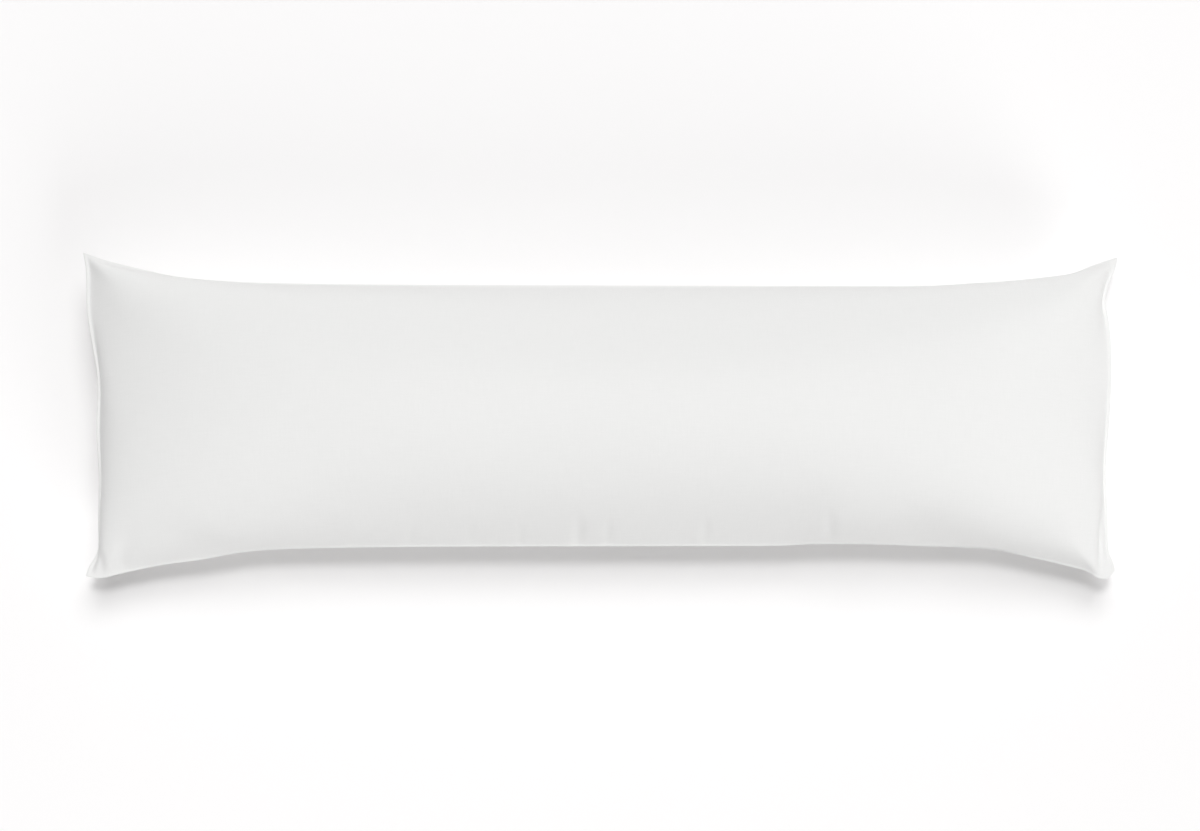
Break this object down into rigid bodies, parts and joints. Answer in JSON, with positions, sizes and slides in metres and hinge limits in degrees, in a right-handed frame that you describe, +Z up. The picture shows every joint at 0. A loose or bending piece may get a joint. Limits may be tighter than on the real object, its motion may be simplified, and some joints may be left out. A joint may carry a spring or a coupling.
{
  "type": "body pillow",
  "caption": "Long, soft body pillow with a plain white cover, a full crown, drawn-in sides, pointed ears and a flat stitched edge at both ends.",
  "frame": {"origin": "on the surface that the pillow lies on, under the middle of its bounding box", "axes": "+X along the pillow's length, +Y towards its back long side, +Z up"},
  "size_m": [1.469, 0.4694, 0.2156],
  "materials": {
    "cover": "plain white woven cotton, fine and matt"
  },
  "bodies": {
    "root": {"body_pillow": "cover"}
  },
  "joints": []
}
